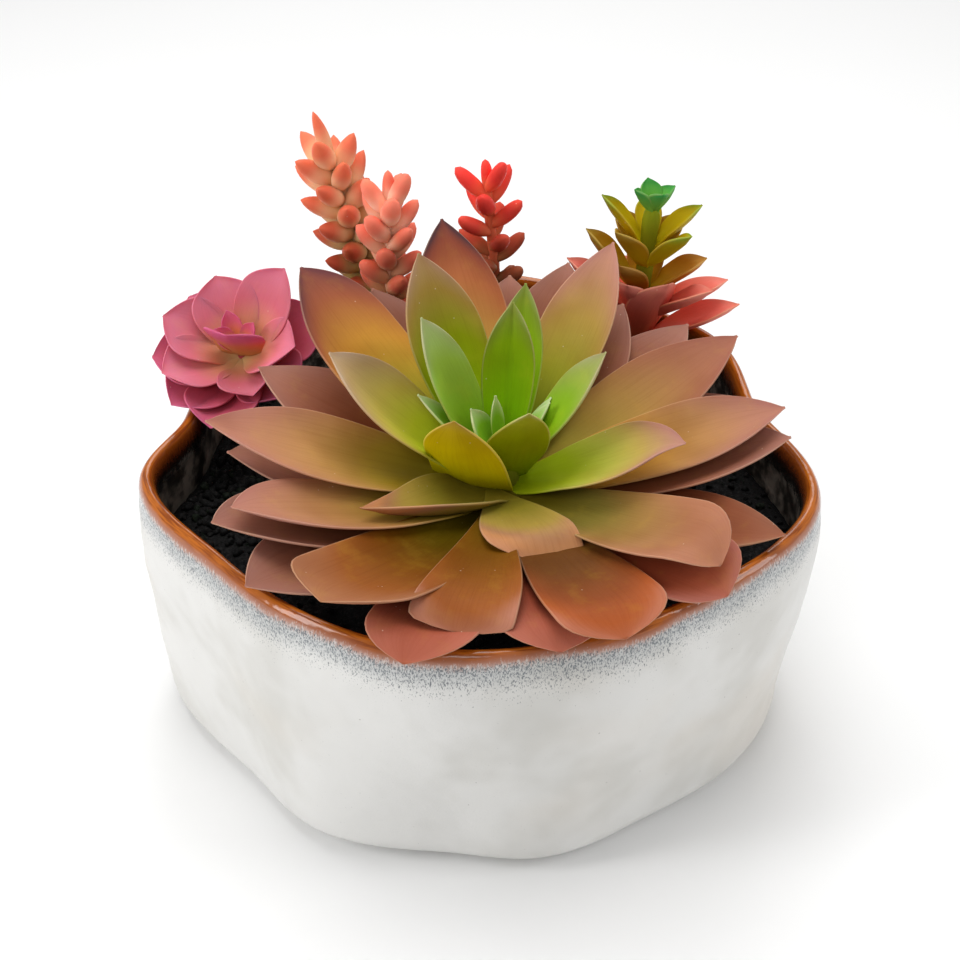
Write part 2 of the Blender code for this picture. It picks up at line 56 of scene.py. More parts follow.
INNER_FOOT = 20
FLOOR_ROUND = 8
BOWL_COLUMNS = 360
# Steps of the profile: under the foot, round its corner, up the wall, over the lip, inside
FOOT_STEPS = 8
CORNER_STEPS = 9
WALL_STEPS = 52
LIP_STEPS = 17
INNER_STEPS = 28
# Kneading of the wall as (depth, size), and the height over which it fades at both ends
KNEAD_WIDE = (0.5, 17)
KNEAD_SMALL = (0.22, 7)
KNEAD_FADE = 8

# Soil, with its roughness as (height, size, layer of the noise)
SOIL_GAP = 0.3
SOIL_EDGE = 68
SOIL_CROWN = 5
SOIL_LUMP = 0.9
SOIL_LUMPS_AROUND = 3
SOIL_ROUGH = ((1.1, 9, 0), (0.6, 3.3, 9), (0.3, 1.4, 5))
SOIL_SETTLED = 0.6
SOIL_COLUMNS = 220
SOIL_LEVELS = (20, 32, 44, 56)
SOIL_RINGS = 50
SOIL_COLOR = "070606"
# Crumbs and fibres: how many, their draws, sizes and colours; each fifth crumb is in a clump
CRUMBS = 1500
CRUMB_SEED = 11
CRUMB_SIZE = (0.5, 1.5)
CRUMB_COLORS = ("070606", "0b0a0a", "100f0e")
MOSSY_CRUMB = "10180c"
MOSSY_SHARE = 0.12
CLUMP_EACH = 5
CLUMP_HEADING = (172, 14)
CLUMP_PART = (0.84, 0.09)
CLUMP_SIZE = (0.8, 2.2)
FIBRES = 1300
FIBRE_SEED = 5
FIBRE_LENGTH = (1.5, 4.5)
FIBRE_RADIUS = 0.16
FIBRE_COLORS = ("0a1608", "0f1e0c", "081006", "182210")

# Blades: a blade's usual measures
ROOT_WIDTH = 0.36
WIDEST = 0.62
SHOULDER = 1.4
POINT = 2.1
THICKNESS = 2.6
EDGE_THICKNESS = 0.8
TIP_WIDTH = 0.7
DROOP_START = 0.84
CUP_FULL = 0.4
SKEW_FULL = 0.3
SPINE_REACH = 1.3
SPINE_STEPS = 200
SPIRAL_STEP = 0.17
BLADE_ROWS = 34
BLADE_COLUMNS = 14
ROOT_START = 0.03
TIP_CROWDING = 1.35
WAVE_HEIGHT = (0.2, 0.5)
WAVE_SWINGS = (5, 9)
CREASE = 0.15
CREASE_WIDTH = 0.1
RIM_REACH = 0.35
# A blade's colours run further on near its edge, and its underside is darker
MARGIN = 0.14
UNDER_DARKER = 0.12
# Step of the noise's layer from one leaf's seed to the next
SEED_STEP = 0.37
SEEDS_PER_RING = 20
BLUNT = dict(droop=60, widest=0.78, point=3.2)
FRONT = dict(droop=45, widest=0.82, point=3.5, cup=0.1)
WEDGE = dict(FRONT, widest=0.86, root=0.18, shoulder=1.8)
HOOD = dict(WEDGE, droop=55, fold=0.78, fold_end=0.92, widest=0.9, root=0.12, point=4, bend=0)

# Leaf looks as (part of the length, colour), from the root to the tip
LOOKS = dict(
    plum=((0.2, "a8b82c"), (0.45, "b8a432"), (0.66, "c88e38"), (0.84, "a25c40"), (1, "744648")),
    dark_plum=((0.3, "9c9c24"), (0.55, "b88a40"), (0.76, "b46c42"), (0.9, "985240"),
               (1, "5c4046")),
    olive=((0.1, "98b404"), (0.4, "8cac04"), (0.62, "8c980c"), (0.82, "a4863c"), (1, "b49070")),
    salmon_olive=((0.25, "707c04"), (0.45, "92901c"), (0.68, "b09044"), (0.86, "b88468"),
                  (1, "bc8678")),
    bright=((0, "5c9008"), (0.4, "7ea820"), (0.7, "98bc44"), (0.9, "a8c078"), (1, "bccc98")),
    deep=((0, "649c04"), (0.4, "80b404"), (0.75, "88ac0c"), (0.9, "80942c"), (1, "8c9c50")),
    lime=((0, "84b004"), (0.4, "84b010"), (0.6, "86ac28"), (0.8, "9cac50"), (1, "b0b080")),
    pale_lime=((0.15, "a4b808"), (0.45, "b8c028"), (0.65, "c4b050"), (0.85, "c0a070"),
               (1, "c8ac90")),
    lime_salmon=((0.1, "98b008"), (0.35, "a2b418"), (0.55, "b0b044"), (0.75, "b89c54"),
                 (0.92, "b88872"), (1, "b88478")),
    amber=((0.25, "a8700c"), (0.45, "b47e20"), (0.65, "bc8a50"), (0.85, "b07a62"), (1, "a87064")),
    mauve=((0.3, "884820"), (0.55, "985838"), (0.8, "a46a54"), (1, "ac7a6c")),
    sand=((0.3, "a08c30"), (0.55, "ae8444"), (0.78, "a86e50"), (1, "a46858")),
    dusk=((0.2, "7c7008"), (0.42, "9c8028"), (0.62, "b88852"), (0.85, "b87e66"), (1, "b87e70")),
    rust=((0.2, "504404"), (0.4, "5c4804"), (0.6, "7c480c"), (0.78, "945424"), (1, "b07858")),
    # Next look: its dark root is partly the leaf's own dark red and partly painted shade
    brick=((0.45, "6c2a14"), (0.7, "984630"), (0.86, "ac5c46"), (1, "b46a56")),
    rusty=((0.3, "803c18"), (0.6, "8c4a28"), (0.85, "9c5c40"), (1, "a46c54")),
    salmon=((0.4, "8c3c24"), (0.7, "a44c30"), (0.9, "b45c40"), (1, "b87060")),
    ember=((0.3, "5c3810"), (0.6, "70441e"), (0.8, "8c4824"), (0.92, "ac582c"), (1, "b87054")),
    front=((0.2, "604c08"), (0.45, "704c0c"), (0.7, "844c14"), (0.9, "9c5828"), (1, "b47860")),
    fawn=((0.2, "685e14"), (0.42, "807230"), (0.6, "9e7842"), (0.82, "b07858"), (1, "b87e64")),
    # Next look: its dark root stops are partly the leaf's own olive and partly painted shade at
    # the root
    hood=((0.1, "605810"), (0.45, "887c28"), (0.7, "a48a40"), (0.82, "ac7c58"), (0.9, "c48a5c"),
          (1, "c88c66")),
    bud=((0, "b8b004"), (0.4, "e8e004"), (0.7, "e4d408"), (0.88, "d0b818"), (1, "bc9c48")),
    green_bud=((0, "90a404"), (0.7, "98a804"), (0.92, "a0a820"), (1, "b8bc70")),
    leaflet=((0, "6ca010"), (0.7, "88bc2c"), (1, "ccdca8")),
    pink=((0.1, "c49866"), (0.35, "d88c70"), (0.6, "dc7484"), (0.85, "e08096"), (1, "dc748e")),
    # Next look: the low ring's deep crimson is partly the petals' own colour and partly painted
    # shade under the pink head
    low_crimson_and_shade=((0.2, "a42c3c"), (0.5, "c04456"), (0.8, "cc5e78"), (1, "d0688c")),
    pink_bud=((0.2, "cc9058"), (0.5, "d4805c"), (0.75, "d06480"), (1, "cc5c84")),
    crimson=((0.1, "c0462c"), (0.5, "e8604a"), (0.8, "f88070"), (1, "ff9c8c")),
    russet=((0.1, "c89c10"), (0.4, "bc8410"), (0.75, "ac6c18"), (1, "c49048")),
    ochre=((0.1, "d0b40c"), (0.5, "c89c10"), (0.8, "b88818"), (1, "b89a40")),
    moss=((0.1, "dcc80c"), (0.5, "ccb008"), (0.8, "b8a010"), (1, "94ac30")),
    sprout=((0, "78b838"), (0.5, "6cb044"), (1, "3c9c4c")),
)

# Large rosette: its crown, its lean to +X and +Y, its stem's foot, top, radius and colours,
# and its rings of blades as (heading, rise and length to add, own measures)
ROSETTE_CROWN = (6, -23, 89)
ROSETTE_LEAN = (2, -11)
ROSETTE_STEM = (-44, 17, 5.5, ("4a3418", "7c8420"))
ROSETTE_RINGS = (
    (dict(step=-4, rise=6, length=87, width=27, bend=16, cup=0.28, look="mauve"),
     ((19, -1, -4), (46, -2, 1), (60, 1, -6), (88, 0, -3), (122, 4, -5), (184, 0, -4),
      (227, -2, 5, dict(width=34, point=3, sweep=-12)),
      (279, 10, -1, dict(FRONT, bend=5, width=32, sweep=2, look="brick")),
      (317, 8, 0, dict(FRONT, bend=5, width=30, look="salmon")),
      (336, 1, 3, dict(step=-6, look="rusty")))),
    (dict(step=-2, rise=9, length=88, width=28, bend=18, cup=0.28, look="mauve"),
     ((31, 0, 1, dict(look="sand")), (75, -1, -1), (104, 9, 4, dict(look="dark_plum")),
      (154, -8, -3), (219, -3, 3, dict(sweep=-20, width=31, point=3.2)),
      (260, 3, 4, dict(FRONT, bend=8, width=30, sweep=-11, look="brick")),
      (291, 8, 2, dict(WEDGE, bend=5, width=31, sweep=1, look="ember")), (358, 0, 0))),
    (dict(step=0, rise=12, length=88, width=28, bend=20, cup=0.3, look="dusk"),
     ((3, -1, 0, dict(look="amber")), (65, 2, 2, dict(width=22, look="salmon_olive")),
      (145, 1, 4, dict(sweep=-11, width=30, point=3, look="plum")), (187, -1, 4),
      (217, -4, 0, dict(sweep=-14, width=27, point=3, twist=8)),
      (246, -4, 4, dict(sweep=-14, width=34, widest=0.84, point=3.2, cup=0.26, look="rust")),
      (266, 6, -7, dict(WEDGE, bend=0, sweep=-7, skew=0.07, shoulder=2.4, widest=0.93,
                        point=5, look="front")),
      (318, -1, -4, dict(BLUNT, look="fawn")))),
    (dict(step=2, rise=24, length=64, width=24, bend=30, cup=0.32),
     ((347, -7, -3, dict(droop=40, look="lime_salmon", crease=0.5)),
      (82, 4, -3, dict(width=15, look="deep", crease=0.6)), (121, 6, 9, dict(look="olive")),
      (168, -2, 2, dict(look="pale_lime")),
      (240, -17, -15, dict(width=23, bend=26, sweep=-20, twist=10, cup=0.5, root=0.75,
                           widest=0.46, point=1.5, look="hood")),
      (291, -4, -18, dict(HOOD, width=26, aside=-4.5, sweep=-0.5, skew=0.4, look="hood",
                          crease=0)))),
    (dict(step=4, rise=48, length=54, width=15, bend=20, cup=0.35),
     ((86, 0, -1, dict(look="deep", crease=0.8)), (147, 0, 2, dict(width=17, look="bright")),
      (10, 0, 0, dict(look="lime")),
      (252, 2, -10, dict(step=-3, width=25, bend=36, aside=-7, sweep=-3, cup=0.1, root=0.92,
                         widest=0.48, point=2.5, look="bud", margin=0.05)),
      (277, 12, -16, dict(step=4.3, width=18, bend=22, aside=2, sweep=3, cup=0.1, root=0.6,
                          widest=0.5, point=2.6, look="green_bud", margin=0.08)))),
    (dict(step=8, rise=64, length=26, width=7, bend=10, cup=0.35, look="leaflet"),
     ((112, 4, -2, dict(width=4)), (156, -8, -4, dict(width=9)), (170, -26, 9),
      (20, -12, 0, dict(width=5)), (32, -18, 0, dict(width=4)))),
)
# Thin web that joins the leaves' roots: its reach at the front and the back, its height and
# slope, its notches as (depth, count, shift), and its profile as (part of the reach, lift)
WEB_REACH = (18, 12)
WEB_HEIGHT = 3.2
WEB_SLOPE = 0.04
WEB_NOTCHES = ((0.07, 9, 1), (0.04, 17, 0))
WEB_COLUMNS = 120
WEB_PROFILE = ((0.2, 0), (0.4, 0), (0.6, 0), (0.8, 0), (0.92, -0.1), (0.98, -0.35),
               (1, -0.7), (0.96, -1.1), (0.6, -1.3), (0.2, -1.3))
WEB_COLORS = ("70520c", "746818")
WEB_PLACE = (0.1, 0, 3.3)

# Pink rosette at the left
PINK_CROWN = (-76, 36, 99)
PINK_LEAN = (-8, -32)
PINK_STEM = (-58, 4, 3.5, ("4a2018", "a04448"))
PINK_RINGS = (
    # Lowest ring: its deep crimson look is partly painted shade under the head
    (dict(step=-2, rise=8, length=30, width=24, bend=14, cup=0.35, thick=1.8, point=2.6,
          look="low_crimson_and_shade"),
     ((18, 0, 0), (86, 4, -2), (128, 0, 0), (182, 4, 0), (222, 2, 0), (255, 2, 2),
      (312, 0, -4))),
    (dict(step=1, rise=22, length=29, width=21, bend=16, cup=0.4, thick=1.8, point=2.6,
          look="pink"),
     ((48, 8, 4), (106, 4, -1), (158, 0, 0), (204, -6, -1), (286, -6, -5, dict(width=19)),
      (340, 4, -3))),
    (dict(step=4, rise=50, length=15, width=6, bend=10, cup=0.35, thick=1.6, point=2.6,
          look="pink_bud"),
     ((105, -5, 0), (255, 22, 2, dict(width=20, root=0.6, cup=0.3)), (40, -5, -3),
      (150, -5, -3))),
)

# Stacked-leaf plant at the right back
STACK_FOOT = (51.5, 68, 70)
STACK_LEAN = (4, 0)
STACK_STEM = (-26, 71, 2.8, ("7c2c1c", "8c9c1c"))
STACK_TIERS = (
    (dict(step=19, rise=12, length=32, width=13, bend=16, cup=0.5, thick=3, look="crimson"),
     ((2, 4, 5), (70, 4, -9), (135, 4, -4), (182, 14, 0),
      (298, 46, -1, dict(width=17, root=0.6, bend=8)))),
    (dict(step=27, rise=24, length=30, width=12.5, bend=14, cup=0.5, thick=3, look="crimson"),
     ((12, -7, 3), (110, 0, -4), (170, 4, 2), (240, 22, -8), (332, 4, 0))),
    (dict(step=36, rise=34, length=27, width=12, bend=12, cup=0.5, thick=3, look="russet"),
     ((6, -6, -2), (84, 0, -6), (174, 6, 3, dict(look="ochre")), (228, 6, -6))),
    (dict(step=46, rise=42, length=24, width=11, bend=8, cup=0.55, thick=2.8, look="ochre"),
     ((40, 0, -2), (135, 0, -2), (222, 0, 0), (318, 0, 0, dict(look="moss")))),
    (dict(step=53, rise=38, length=22, width=8.5, bend=14, cup=0.6, thick=2.6, look="moss"),
     ((14, -4, 1), (92, 0, -3), (172, 0, 2))),
    (dict(step=65.5, rise=48, length=12, width=7, bend=10, cup=0.6, thick=2, look="sprout"),
     ((20, 0, 0), (107, 2, 0), (203, -2, 0), (288, 1, 0))),
)

# Bean-leaved sprigs, with a bean's colour at its root and tip, low down and at the top, and
# its paint's name and rim
SPRIGS = (
    dict(name="tall_coral_sprig", foot=(-26.5, 77, 70), lean=(-16.5, 0), height=101, start=26,
         count=37, length=17, radius=3.6, climb=28, peak=20, taper=(1.8, 0.7), blush=0.4,
         slot="coral_bean", root=("b09458", "ffd0a4"), tip=("ac4830", "f47c5c"),
         paint=("peach_bean", "ffd8b8")),
    dict(name="short_coral_sprig", foot=(-29, 50, 71), lean=(0, 0), height=88, start=28,
         count=27, length=15, radius=3, climb=36, peak=13, taper=(2.6, 0.55), blush=0.35,
         slot="pink_coral_bean", root=("c89060", "ffccb0"), tip=("e47058", "ff8870"),
         paint=("coral_bean", "ffd4c8")),
    dict(name="red_sprig", foot=(8.5, 76, 70), lean=(-5, 0), height=81.5, start=24,
         count=19, length=15, radius=2.8, climb=28, peak=11, taper=(2.6, 0.5), blush=0.2,
         slot="red_bean", root=("86663c", "f47454"), tip=("a05a3c", "fa4a42"),
         paint=("red_bean", "f07868")),
)
SPRIG_STEM_RADIUS = 1.7
SPRIG_DEPTH = 26
BEAN_TURN = 137.5
BEAN_STEEPER = 22
BEAN_SHORTER = 0.25
BEAN_RIPENING = 1.6
TIP_CLIMB = 86
TIP_THINNER = 0.7
# A bean's rows and sides, its thin root, where it is full, its tip and its moulding seam
BEAN_ROWS = 12
BEAN_SIDES = 20
BEAN_ROOT = 0.4
BEAN_FULL = 0.45
BEAN_TIP = 0.15
BEAN_WIDER = 1.04
BEAN_FLATTER = 0.92
BEAN_CURVE = 0.08
SEAM_HEIGHT = 0.05
SEAM_POWER = 24
SEAM_EDGE_POWER = 13
BLUSH_LENGTH = 0.4

# Stems
UPRIGHT = (0, 0)
STEM_ROWS = 40
STEM_SIDES = 20
STEM_TAPER = 6
SCAR_DEPTH = 0.05
SCARS_PER_MM = 2.1

# Camera
TARGET = (0, -7.2, 81.2)
CAMERA_DISTANCE = 580
CAMERA_ELEVATION = 33.5
LENS = 70.4
SENSOR_WIDTH = 36

# Lamps as (name, place, size, power) in metres and watts, the spot that they aim at, the
# even light from all round, and the reach of the floor
LAMPS = (("top_softbox", (-0.1, 0.15, 1.1), (0.8, 0.8), 7),
         ("left_softbox", (-0.95, -0.35, 0.55), (0.3, 0.8), 5),
         ("right_softbox", (1.0, -0.2, 0.5), (0.3, 0.8), 3),
         ("front_softbox", (-0.25, -1.1, 0.9), (0.7, 0.3), 2),
         ("back_softbox", (0.1, 1.0, 0.9), (0.8, 0.5), 3))
LAMP_AIM = (0, 0, 0.08)
WORLD_LIGHT = 0.34
FLOOR_REACH = 3


def linear(code):
    """Linear colour of a hex code."""
    parts = [int(code[index:index + 2], 16) / 255 for index in (0, 2, 4)]
    return [part / 12.92 if part <= 0.04045 else ((part + 0.055) / 1.055)**2.4
            for part in parts]


def color(code):
    """Linear colour of a hex code with full alpha."""
    return (*linear(code), 1)


def ease(value):
    """Smooth step from 0 to 1, for numbers or arrays."""
    value = np.clip(value, 0, 1)
    return value * value * (3 - 2 * value)


def smooth_between(plan, heading):
    """Value at a heading on a smooth closed curve through (heading, value) points."""
    count = len(plan)
    turn = 360
    for index in range(count):
        start, value = plan[index]
        end, next_value = plan[(index + 1) % count]
        span = (end - start) % turn
        offset = (heading - start) % turn
        if offset < span:
            before, before_value = plan[index - 1]
            after, after_value = plan[(index + 2) % count]
            slope = (next_value - before_value) / ((end - before) % turn)
            next_slope = (after_value - value) / ((after - start) % turn)
            t = offset / span
            return (value * (2 * t**3 - 3 * t**2 + 1) + next_value * (3 * t**2 - 2 * t**3)
                    + slope * span * (t**3 - 2 * t**2 + t) + next_slope * span * (t**3 - t**2))
    return plan[0][1]


def look_colors(look, parts):
    """Linear colours of a look at parts of the length."""
    stops = [stop for stop, _ in LOOKS[look]]
    codes = np.array([linear(code) for _, code in LOOKS[look]])
    return np.stack([np.interp(parts, stops, codes[:, channel]) for channel in range(3)], -1)


def mixed(first, second, part):
    """Linear colour between two hex codes."""
    return (1 - part) * np.array(linear(first)) + part * np.array(linear(second))


def stacked(*parts):
    """Points from their coordinates, which are numbers or arrays that fit one another."""
    return np.stack(np.broadcast_arrays(*parts), -1)


def placed(name, data):
    """Object of a mesh, a lamp or a camera, put in the scene."""
    made = bpy.data.objects.new(name, data)
    bpy.context.scene.collection.objects.link(made)
    return made


class Shell:
    """Gathers the grids of one piece: points, faces, and each point's tint and place."""

    def __init__(self):
        self.points = []
        self.faces = []
        self.tints = []
        self.places = []
        self.count = 0

    def add(self, points, faces, tints, places):
        """Add points (n, 3) with faces that count from 0, tints (n, 3) and places (n, 3)."""
        self.points.append(np.asarray(points, float))
        self.faces.extend(tuple(index + self.count for index in face) for face in faces)
        self.tints.append(np.broadcast_to(tints, (len(points), 3)))
        self.places.append(np.broadcast_to(places, (len(points), 3)))
        self.count += len(points)

    def turn(self, turn, foot):
        """Turn and move everything that was added so far."""
        matrix = np.array(turn.to_matrix())
        self.points = [np.concatenate(self.points) @ matrix.T + np.array(foot)]

    def build(self, name):
        """Smooth-shaded object in metres with the attributes tint and place."""
        mesh = bpy.data.meshes.new(name)
        mesh.from_pydata((np.concatenate(self.points) * MM).tolist(), [], self.faces)
        tints = np.concatenate(self.tints)
        tint = mesh.attributes.new("tint", "FLOAT_COLOR", "POINT")
        tint.data.foreach_set("color", np.column_stack((tints, np.ones(len(tints)))).ravel())
        place = mesh.attributes.new("place", "FLOAT_VECTOR", "POINT")
        place.data.foreach_set("vector", np.concatenate(self.places).ravel())
        mesh.validate()
        mesh.shade_smooth()
        return placed(name, mesh)


def loft_faces(rows, sides):
    """Faces of a closed tube of rows times sides points, with a fan over each end."""
    faces = []
    for row in range(rows - 1):
        for side in range(sides):
            after = (side + 1) % sides
            low = row * sides
            faces.append((low + side, low + after, low + sides + after, low + sides + side))
    start = rows * sides
    for side in range(sides):
        after = (side + 1) % sides
        faces.append((start, after, side))
        faces.append((start + 1, start - sides + side, start - sides + after))
    return faces


def with_ends(rings):
    """Ring points (rows, sides, n) as a list, followed by the middle of each end."""
    ends = np.stack((rings[0].mean(0), rings[-1].mean(0)))
    return np.concatenate((rings.reshape(-1, rings.shape[-1]), ends))


def blade_rise(blade, t):
    """Climb of a blade's middle line in radians."""
    fold = blade.get("fold", DROOP_START)
    droop = blade.get("droop", 0) * ease((t - fold) / (blade.get("fold_end", 1) - fold))
    return np.radians(blade["rise"] + blade["bend"] * t - droop)


def blade_spine(blade, t):
    """Points on a blade's middle line."""
    steps = np.linspace(0, SPINE_REACH, SPINE_STEPS + 1)
    climb = blade_rise(blade, (steps[1:] + steps[:-1]) / 2)
    stride = blade["length"] * SPINE_REACH / SPINE_STEPS
    reach = np.concatenate(((0,), np.cumsum(np.cos(climb)))) * stride
    height = np.concatenate(((0,), np.cumsum(np.sin(climb)))) * stride
    return stacked(np.interp(t, steps, reach),
                   blade.get("aside", 0) + blade.get("sweep", 0) * t * t,
                   np.interp(t, steps, height))


def blade_width(blade, t):
    """Half width of a blade along its length."""
    root = blade.get("root", ROOT_WIDTH)
    widest = blade.get("widest", WIDEST)
    shoulder = blade.get("shoulder", SHOULDER)
    swell = root + (1 - root) * np.sin(np.pi / 2 * np.minimum(t / widest, 1)) ** shoulder
    narrow = 1 - np.maximum((t - widest) / (1 - widest), 0) ** blade.get("point", POINT)
    return np.maximum(blade["width"] / 2 * np.where(t < widest, swell, narrow), TIP_WIDTH / 2)


def add_blade(shell, blade, heading, tilt, seed):
    """Add one blade: a cupped, softly waved leaf with a rounded rim."""
    draw = random.Random(seed)
    t = ROOT_START + (1 - ROOT_START) * (1 - (1 - np.linspace(0, 1, BLADE_ROWS))**TIP_CROWDING)
    p = np.sin(np.linspace(-1, 1, BLADE_COLUMNS + 1) * np.pi / 2)
    half = blade_width(blade, t)
    skew = blade.get("skew", 0) * half / blade["length"] * ease(t / SKEW_FULL)
    along = t[:, None] + skew[:, None] * p
    rise = blade_rise(blade, along)
    roll = np.radians(blade.get("twist", 0) * along)
    up = stacked(-np.sin(rise), 0, np.cos(rise))
    side = np.array((0, 1, 0))
    across = side * np.cos(roll)[..., None] + up * np.sin(roll)[..., None]
    normal = up * np.cos(roll)[..., None] - side * np.sin(roll)[..., None]
    height = draw.uniform(*WAVE_HEIGHT)
    swing = np.sin(draw.uniform(*WAVE_SWINGS) * t + draw.uniform(0, 6))
    wave = height * swing[:, None] * p**2 * np.sign(p + draw.uniform(-0.5, 0.5))
    cup = blade["cup"] * ease(t / CUP_FULL)
    raised = (cup * half)[:, None] * p**2 + wave * np.minimum(half / 8, 1)[:, None]
    crease = blade.get("crease", CREASE) * np.exp(-(p / CREASE_WIDTH)**2)
    raised = raised - crease * np.minimum(half / 5, 1)[:, None]
    middle = (blade_spine(blade, along) + across * (half[:, None] * p)[..., None]
              + normal * raised[..., None])
    thick = blade.get("thick", THICKNESS) * (1 - t / 2) * np.minimum(1, half / 4)
    thick = np.maximum(thick, EDGE_THICKNESS)
    depth = EDGE_THICKNESS + (thick - EDGE_THICKNESS)[:, None] * (1 - np.abs(p)**1.6)
    depth = depth * np.minimum(1, 0.35 + 6 * (1 - t))[:, None]
    top = middle + normal * (depth / 2)[..., None]
    bottom = middle - normal * (depth / 2)[..., None]
    rim = (RIM_REACH * np.minimum(half / 3, 1))[:, None, None]
    right = middle[:, -1:] + across[:, -1:] * rim
    left = middle[:, :1] - across[:, :1] * rim
    rings = np.concatenate((top, right, bottom[:, ::-1], left), 1)
    place = np.concatenate((p, (1,), p[::-1], (-1,)))
    under = np.concatenate((p * 0, (0.5,), p * 0 + 1, (0.5,)))
    shade = t[:, None] + blade.get("margin", MARGIN) * np.abs(place)**2.5 - 0.03
    tints = look_colors(blade["look"], shade)
    tints = tints * (1 + draw.uniform(-0.06, 0.06))
    tints = tints * (1 - UNDER_DARKER * under)[None, :, None]
    places = stacked(t[:, None], place, seed * SEED_STEP)
    matrix = np.array((tilt @ Matrix.Rotation(math.radians(heading), 4, "Z")).to_3x3())
    lift = np.array(tilt.to_3x3()) @ np.array((0, 0, blade["step"]))
    points = with_ends(rings) @ matrix.T + lift
    shell.add(points, loft_faces(BLADE_ROWS, len(place)), with_ends(tints), with_ends(places))


def add_rings(shell, rings, tilt=Matrix()):
    """Add every blade of a plant's rings, each with its own changes to its ring's measures."""
    for number, (ring, leaves) in enumerate(rings):
        for index, (heading, rise, length, *own) in enumerate(leaves):
            blade = {**ring, **(own[0] if own else {})}
            blade["step"] += SPIRAL_STEP * index
            blade["rise"] += rise
            blade["length"] += length
            add_blade(shell, blade, heading, tilt, SEEDS_PER_RING * number + index)


def add_stem(shell, low, high, radius, colors):
    """Add an upright stem with small rings of leaf scars, which narrows at its top."""
    levels = np.linspace(low, high, STEM_ROWS)
    swell = radius * (1 + SCAR_DEPTH * np.sin(levels * SCARS_PER_MM))
    swell = np.where(levels > high - STEM_TAPER,
                     swell * (1 - 0.5 * (levels - high + STEM_TAPER) / STEM_TAPER), swell)
    turn = np.linspace(0, 2 * np.pi, STEM_SIDES, endpoint=False)
    rings = stacked(swell[:, None] * np.cos(turn), swell[:, None] * np.sin(turn),
                    levels[:, None])
    part = ((levels - low) / (high - low))[:, None]
    tints = np.broadcast_to(mixed(*colors, part)[:, None], rings.shape)
    places = stacked(part, np.sin(turn) * 0.5, 0)
    shell.add(with_ends(rings), loft_faces(STEM_ROWS, STEM_SIDES), with_ends(tints),
              with_ends(places))


def lean_turn(lean):
    """Turn that tips an upright axis toward +X and +Y by two angles."""
    axis = Vector((math.sin(math.radians(lean[0])), math.sin(math.radians(lean[1])), 1))
    return Vector((0, 0, 1)).rotation_difference(axis)


def add_bean(shell, sprig, level, heading, rise, length, radius, part, seed):
    """Add one bean-shaped leaf with a moulding seam down both sides."""
    draw = random.Random(seed)
    s = np.linspace(0, 1, BEAN_ROWS)**0.9
    narrow, power = sprig["taper"]
    swell = BEAN_ROOT + (1 - BEAN_ROOT) * np.sin(np.pi / 2 * np.minimum(s / BEAN_FULL, 1))
    swell = swell * (1 - np.maximum((s - BEAN_FULL) / (1 - BEAN_FULL), 0)**narrow)**power
    swell = np.maximum(swell * radius * draw.uniform(0.94, 1.06), BEAN_TIP)
    turn = np.linspace(0, 2 * np.pi, BEAN_SIDES, endpoint=False)
    seam = 1 + SEAM_HEIGHT * np.abs(np.sin(turn))**SEAM_POWER
    sideways = swell[:, None] * np.cos(turn) * BEAN_WIDER
    upward = swell[:, None] * np.sin(turn) * BEAN_FLATTER * seam
    upward = upward + (BEAN_CURVE * length * (s**2 - 0.4 * s))[:, None]
    rings = stacked((s * length)[:, None], sideways, upward)
    turn_matrix = (Matrix.Rotation(math.radians(heading), 3, "Z")
                   @ Matrix.Rotation(-math.radians(rise), 3, "Y"))
    root = mixed(*sprig["root"], part**BEAN_RIPENING)
    tip = mixed(*sprig["tip"], part**BEAN_RIPENING)
    blush = ease((s - sprig["blush"]) / BLUSH_LENGTH)[:, None, None]
    tints = np.broadcast_to(root * (1 - blush) + tip * blush, rings.shape)
    tints = tints * (1 + draw.uniform(-0.08, 0.08))
    places = stacked(s[:, None], np.abs(np.sin(turn))**SEAM_EDGE_POWER, seed * SEED_STEP)
    points = with_ends(rings) @ np.array(turn_matrix).T + np.array((0, 0, level))
    shell.add(points, loft_faces(BEAN_ROWS, BEAN_SIDES), with_ends(tints), with_ends(places))


def sprig_piece(sprig):
    """Sprig of beans that wind up a stem, steeper toward its top."""
    shell = Shell()
    top = sprig["height"] - sprig["peak"]
    add_stem(shell, -SPRIG_DEPTH, top + STEM_TAPER, SPRIG_STEM_RADIUS, sprig["root"])
    for index in range(sprig["count"]):
        part = index / (sprig["count"] - 1)
        level = sprig["start"] + (top - sprig["start"]) * part
        add_bean(shell, sprig, level, BEAN_TURN * index,
                 sprig["climb"] + BEAN_STEEPER * part**3,
                 sprig["length"] * (1 - BEAN_SHORTER * (1 - part)**2), sprig["radius"],
                 ease(part * 1.25 - 0.1), index)
    add_bean(shell, sprig, top, 0, TIP_CLIMB, sprig["peak"], sprig["radius"] * TIP_THINNER, 1,
             sprig["count"])
    shell.turn(lean_turn(sprig["lean"]), sprig["foot"])
    return shell.build(sprig["name"] + "_leaves")


def add_web(shell):
    """Add the thin web that joins the leaves' roots, wider at the front and notched."""
    turn = np.linspace(0, 2 * np.pi, WEB_COLUMNS, endpoint=False)
    front, back = WEB_REACH
    reach = (front + back) / 2 - (front - back) / 2 * np.sin(turn)
    reach = reach * sum((deep * np.sin(count * turn + shift)
                         for deep, count, shift in WEB_NOTCHES), 1)
    part, level = np.array(WEB_PROFILE).T[..., None]
    rings = stacked(part * reach * np.cos(turn), part * reach * np.sin(turn),
                    WEB_HEIGHT + WEB_SLOPE * part * reach + level)
    tints = mixed(*WEB_COLORS, (0.5 + 0.5 * np.sin(2 * turn + 0.6))[None, :, None])
    tints = np.broadcast_to(tints, rings.shape)
    shell.add(with_ends(rings), loft_faces(len(WEB_PROFILE), WEB_COLUMNS), with_ends(tints),
              WEB_PLACE)


